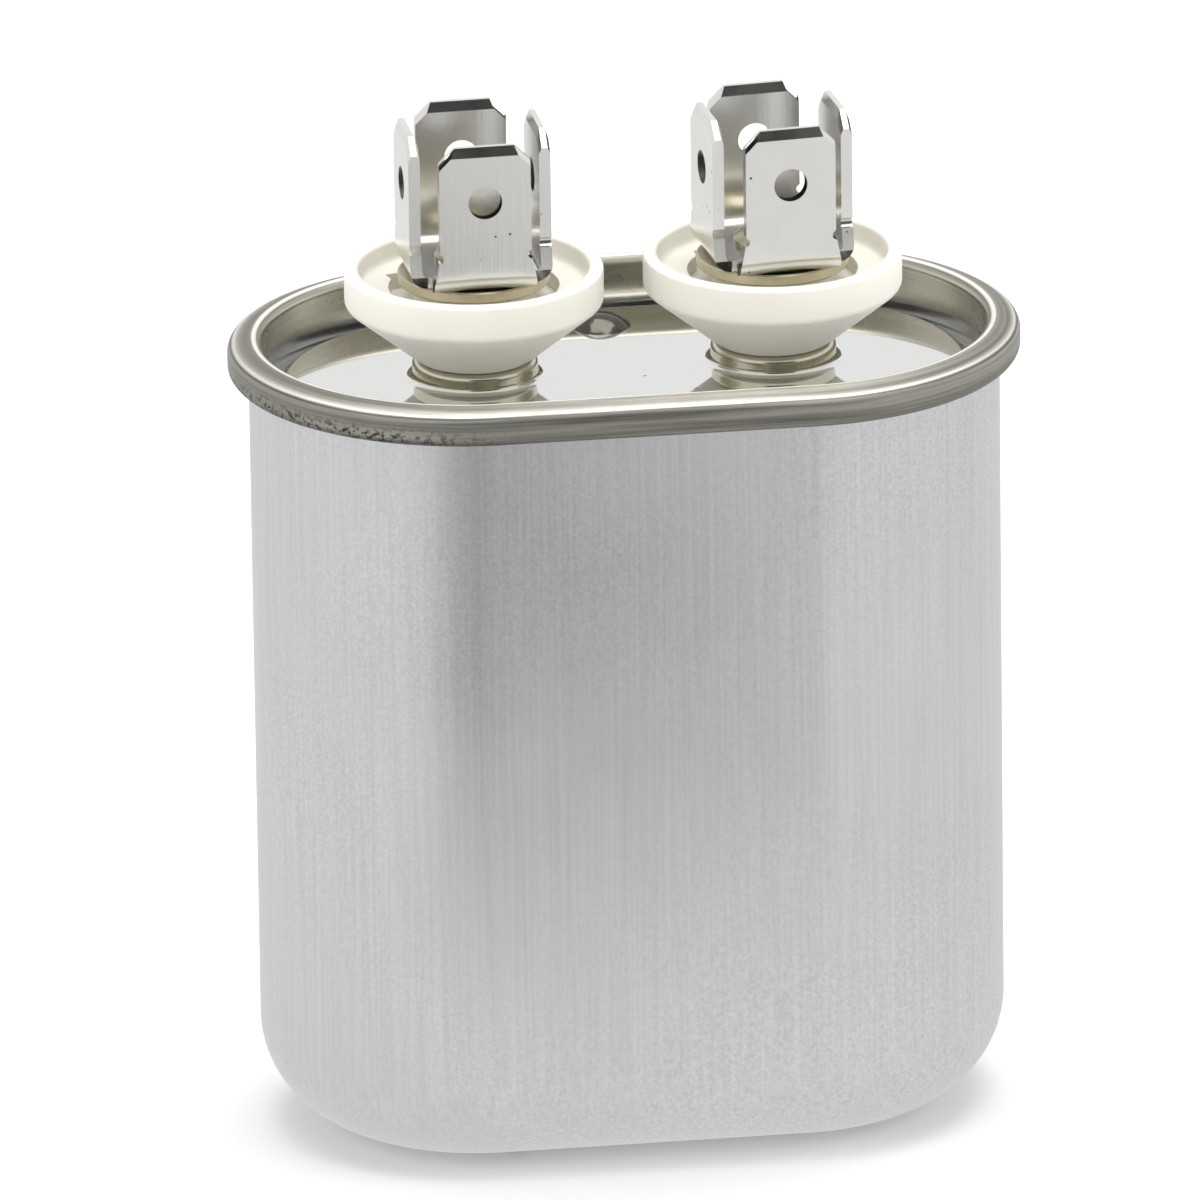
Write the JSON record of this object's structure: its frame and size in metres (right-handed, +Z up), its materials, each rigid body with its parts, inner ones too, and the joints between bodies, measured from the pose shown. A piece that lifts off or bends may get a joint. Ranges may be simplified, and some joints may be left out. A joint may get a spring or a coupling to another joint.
{
  "type": "motor run capacitor",
  "caption": "Oval drawn metal can with a double-seamed cover, carrying two cup-shaped insulators, each with a cluster of quick-connect blades.",
  "frame": {"origin": "centre of the flat base that the can stands on", "axes": "+X along the oval towards the right terminal, +Y towards the back, +Z up towards the blades"},
  "size_m": [0.055, 0.0334, 0.0724],
  "materials": {
    "can_aluminium": "drawn aluminium, satin with faint vertical drawing lines",
    "cover_tinplate": "tin-plated sheet steel, bright panel and duller rolled rim",
    "solder": "bright solder",
    "cup_plastic": "ivory moulded plastic, half matt",
    "washer_steel": "plated steel, slightly yellowed",
    "terminal_tin": "tin-plated brass, satin",
    "rivet_steel": "plated steel",
    "gasket_rubber": "black rubber",
    "bushing_plastic": "ivory moulded plastic",
    "lug_tin": "tin-plated brass",
    "plate_board": "brown insulating board",
    "lead_copper": "tinned copper ribbon",
    "sleeve_film": "insulating sleeve",
    "liner_paper": "kraft paper",
    "zinc_spray": "sprayed zinc, rough",
    "film_winding": "metallised polypropylene film",
    "core_plastic": "plastic tube",
    "spacer_plastic": "moulded plastic"
  },
  "bodies": {
    "root": {"can": "can_aluminium", "cover": "cover_tinplate", "fill_seal": "solder", "cup_left": "cup_plastic", "cup_right": "cup_plastic", "washer_left": "washer_steel", "washer_right": "washer_steel", "terminal_left": "terminal_tin", "terminal_right": "terminal_tin", "rivet_left": "rivet_steel", "rivet_right": "rivet_steel", "gasket_left": "gasket_rubber", "gasket_right": "gasket_rubber", "bushing_left": "bushing_plastic", "bushing_right": "bushing_plastic", "lug_left": "lug_tin", "lug_right": "lug_tin", "top_plate": "plate_board", "lead_short": "lead_copper", "lead_long": "lead_copper", "lead_sleeve": "sleeve_film", "liner": "liner_paper", "spray_top": "zinc_spray", "winding": "film_winding", "core": "core_plastic", "spray_bottom": "zinc_spray", "base_spacer": "spacer_plastic"}
  },
  "joints": []
}
